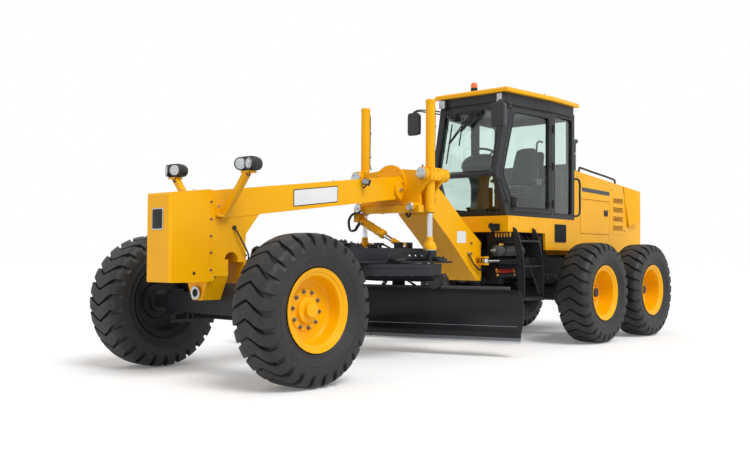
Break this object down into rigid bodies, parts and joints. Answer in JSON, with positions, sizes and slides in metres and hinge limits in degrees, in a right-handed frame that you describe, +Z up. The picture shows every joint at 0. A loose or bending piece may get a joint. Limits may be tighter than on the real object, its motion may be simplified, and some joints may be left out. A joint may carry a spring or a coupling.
{
  "type": "motor grader",
  "caption": "Articulated motor grader with a cab, tandem rear wheels, a steered front axle and a curved blade hung from a turning circle.",
  "frame": {"origin": "on the ground, midway along the machine's length, in the plane of symmetry of its frames", "axes": "+X forward, +Y to the machine's left, +Z up"},
  "size_m": [8.97, 3.5254, 3.468],
  "materials": {
    "yellow_paint": "gloss",
    "charcoal_paint": "satin",
    "dark_grey_paint": "satin",
    "black_plastic": "matte",
    "tyre_rubber": "matte",
    "chrome_rod": "polished",
    "tinted_glass": "clear",
    "cast_iron": "matte",
    "edge_steel": "worn",
    "seat_fabric": "woven",
    "amber_lens": "clear"
  },
  "bodies": {
    "rear_frame": {"rear_frame": "charcoal_paint", "rear_axle": "charcoal_paint", "tandem_case_left": "charcoal_paint", "tandem_case_right": "charcoal_paint", "cab_shell": "dark_grey_paint", "cab_glass": "tinted_glass", "cab_roof": "yellow_paint", "seat": "seat_fabric", "steering_console": "black_plastic", "platform": "yellow_paint", "hood": "yellow_paint", "engine_block": "cast_iron", "exhaust_stack": "black_plastic", "ladders": "charcoal_paint", "fuel_tanks": "black_plastic", "beacon": "amber_lens", "mirrors": "black_plastic", "hood_rails": "black_plastic"},
    "front_frame": {"front_frame": "yellow_paint", "counterweight": "yellow_paint", "saddle": "yellow_paint", "lift_cylinders": "yellow_paint", "headlamps": "yellow_paint", "front_axle": "charcoal_paint"},
    "knuckle_left": {"knuckle_left": "charcoal_paint"},
    "knuckle_right": {"knuckle_right": "charcoal_paint"},
    "tie_rod": {"tie_rod": "charcoal_paint"},
    "drawbar": {"drawbar": "charcoal_paint", "circle_drive": "charcoal_paint"},
    "lift_rods": {"lift_rods": "chrome_rod"},
    "circle": {"circle": "charcoal_paint"},
    "blade_carrier": {"blade_carrier": "charcoal_paint", "side_shift_barrel": "charcoal_paint"},
    "blade": {"moldboard": "charcoal_paint", "cutting_edge": "edge_steel", "side_shift_rod": "chrome_rod"},
    "centre_shift_barrel": {"centre_shift_barrel": "yellow_paint"},
    "centre_shift_rod": {"centre_shift_rod": "chrome_rod"},
    "cab_door_left": {"cab_door_left": "dark_grey_paint", "door_glass_left": "tinted_glass"},
    "cab_door_right": {"cab_door_right": "dark_grey_paint", "door_glass_right": "tinted_glass"},
    "hood_door_left": {"hood_door_left": "yellow_paint"},
    "hood_door_right": {"hood_door_right": "yellow_paint"},
    "articulation_barrel_left": {"articulation_barrel_left": "charcoal_paint"},
    "articulation_rod_left": {"articulation_rod_left": "chrome_rod"},
    "articulation_barrel_right": {"articulation_barrel_right": "charcoal_paint"},
    "articulation_rod_right": {"articulation_rod_right": "chrome_rod"},
    "wheel_front_left": {"tyre_front_left": "tyre_rubber", "rim_front_left": "yellow_paint"},
    "wheel_front_right": {"tyre_front_right": "tyre_rubber", "rim_front_right": "yellow_paint"},
    "wheel_middle_left": {"tyre_middle_left": "tyre_rubber", "rim_middle_left": "yellow_paint"},
    "wheel_middle_right": {"tyre_middle_right": "tyre_rubber", "rim_middle_right": "yellow_paint"},
    "wheel_rear_left": {"tyre_rear_left": "tyre_rubber", "rim_rear_left": "yellow_paint"},
    "wheel_rear_right": {"tyre_rear_right": "tyre_rubber", "rim_rear_right": "yellow_paint"}
  },
  "joints": [
    {"name": "articulation", "type": "hinge", "parent": "rear_frame", "child": "front_frame", "pos_m": [-0.419, 0, 0.88], "axis": [0, 0, -1], "range_deg": [-27, 27]},
    {"name": "steering", "type": "hinge", "parent": "front_frame", "child": "knuckle_left", "pos_m": [3.73, 0.8, 0.67], "axis": [0, 0, 1], "range_deg": [-50, 50]},
    {"name": "steering_right", "type": "hinge", "parent": "front_frame", "child": "knuckle_right", "pos_m": [3.73, -0.8, 0.67], "axis": [0, 0, 1], "range_deg": [-50, 50]},
    {"name": "tie_rod", "type": "hinge", "parent": "knuckle_left", "child": "tie_rod", "pos_m": [3.47, 0.8, 0.52], "axis": [0, 0, 1], "range_deg": [-50, 50]},
    {"name": "spin_front_left", "type": "hinge", "parent": "knuckle_left", "child": "wheel_front_left", "pos_m": [3.73, 1.0835, 0.67], "axis": [0, 1, 0], "continuous": true},
    {"name": "spin_front_right", "type": "hinge", "parent": "knuckle_right", "child": "wheel_front_right", "pos_m": [3.73, -1.0835, 0.67], "axis": [0, 1, 0], "continuous": true},
    {"name": "spin_middle_left", "type": "hinge", "parent": "rear_frame", "child": "wheel_middle_left", "pos_m": [-1.72, 1.0835, 0.67], "axis": [0, 1, 0], "continuous": true},
    {"name": "spin_middle_right", "type": "hinge", "parent": "rear_frame", "child": "wheel_middle_right", "pos_m": [-1.72, -1.0835, 0.67], "axis": [0, 1, 0], "continuous": true},
    {"name": "spin_rear_left", "type": "hinge", "parent": "rear_frame", "child": "wheel_rear_left", "pos_m": [-3.258, 1.0835, 0.67], "axis": [0, 1, 0], "continuous": true},
    {"name": "spin_rear_right", "type": "hinge", "parent": "rear_frame", "child": "wheel_rear_right", "pos_m": [-3.258, -1.0835, 0.67], "axis": [0, 1, 0], "continuous": true},
    {"name": "blade_lift", "type": "hinge", "parent": "front_frame", "child": "drawbar", "pos_m": [3.4, 0, 1], "axis": [0, 1, 0], "range_deg": [-14.6, 6.2]},
    {"name": "lift_rods", "type": "slide", "parent": "front_frame", "child": "lift_rods", "axis": [0, 0, 1], "range_m": [-0.5742, 0.24384]},
    {"name": "centre_shift_swing", "type": "hinge", "parent": "front_frame", "child": "centre_shift_barrel", "pos_m": [1.305, -0.45, 1.585], "axis": [1, 0, 0], "range_deg": [-28.31, 12.02]},
    {"name": "centre_shift_stroke", "type": "slide", "parent": "centre_shift_barrel", "child": "centre_shift_rod", "axis": [0, 0.8958, -0.4446], "range_m": [-0.12129, 0.28563]},
    {"name": "articulation_swing_left", "type": "hinge", "parent": "rear_frame", "child": "articulation_barrel_left", "pos_m": [-0.979, 0.48, 1.09], "axis": [0, 0, 1], "range_deg": [-5.96, 5.96]},
    {"name": "articulation_stroke_left", "type": "slide", "parent": "articulation_barrel_left", "child": "articulation_rod_left", "axis": [0.9896, -0.1441, 0], "range_m": [-0.1856, 0.1856]},
    {"name": "articulation_swing_right", "type": "hinge", "parent": "rear_frame", "child": "articulation_barrel_right", "pos_m": [-0.979, -0.48, 1.09], "axis": [0, 0, 1], "range_deg": [-5.96, 5.96]},
    {"name": "articulation_stroke_right", "type": "slide", "parent": "articulation_barrel_right", "child": "articulation_rod_right", "axis": [0.9896, 0.1441, 0], "range_m": [-0.1856, 0.1856]},
    {"name": "circle_turn", "type": "hinge", "parent": "drawbar", "child": "circle", "pos_m": [1.53, 0, 0.93], "axis": [0, 0, 1], "range_deg": [-180, 30]},
    {"name": "blade_tip", "type": "hinge", "parent": "circle", "child": "blade_carrier", "pos_m": [0.85859, -0.22465, 0.395], "axis": [-0.3173, 0.9483, 0], "range_deg": [-17, 25]},
    {"name": "blade_side_shift", "type": "slide", "parent": "blade_carrier", "child": "blade", "axis": [-0.3173, 0.9483, 0], "range_m": [-0.433, 0.927]},
    {"name": "cab_door_left", "type": "hinge", "parent": "rear_frame", "child": "cab_door_left", "pos_m": [-1.387, 0.64, 1.662], "axis": [0, 0, 1], "range_deg": [0, 85]},
    {"name": "hood_door_left", "type": "hinge", "parent": "rear_frame", "child": "hood_door_left", "pos_m": [-2.386, 0.545, 1.488], "axis": [0, 0, -1], "range_deg": [0, 80]},
    {"name": "cab_door_right", "type": "hinge", "parent": "rear_frame", "child": "cab_door_right", "pos_m": [-1.387, -0.64, 1.662], "axis": [0, 0, -1], "range_deg": [0, 85]},
    {"name": "hood_door_right", "type": "hinge", "parent": "rear_frame", "child": "hood_door_right", "pos_m": [-2.386, -0.545, 1.488], "axis": [0, 0, 1], "range_deg": [0, 80]}
  ],
  "couplings": [
    {"joint": "steering_right", "follows": "steering", "ratio": 1},
    {"joint": "tie_rod", "follows": "steering", "ratio": -1},
    {"joint": "lift_rods", "follows": "blade_lift", "m_per_rad": 2.2534},
    {"joint": "centre_shift_swing", "follows": "blade_lift", "ratio": 1.9392},
    {"joint": "centre_shift_stroke", "follows": "blade_lift", "m_per_rad": -1.1209},
    {"joint": "articulation_swing_left", "follows": "articulation", "ratio": -0.22082},
    {"joint": "articulation_stroke_left", "follows": "articulation", "m_per_rad": 0.39385},
    {"joint": "articulation_swing_right", "follows": "articulation", "ratio": -0.22082},
    {"joint": "articulation_stroke_right", "follows": "articulation", "m_per_rad": -0.39385}
  ]
}
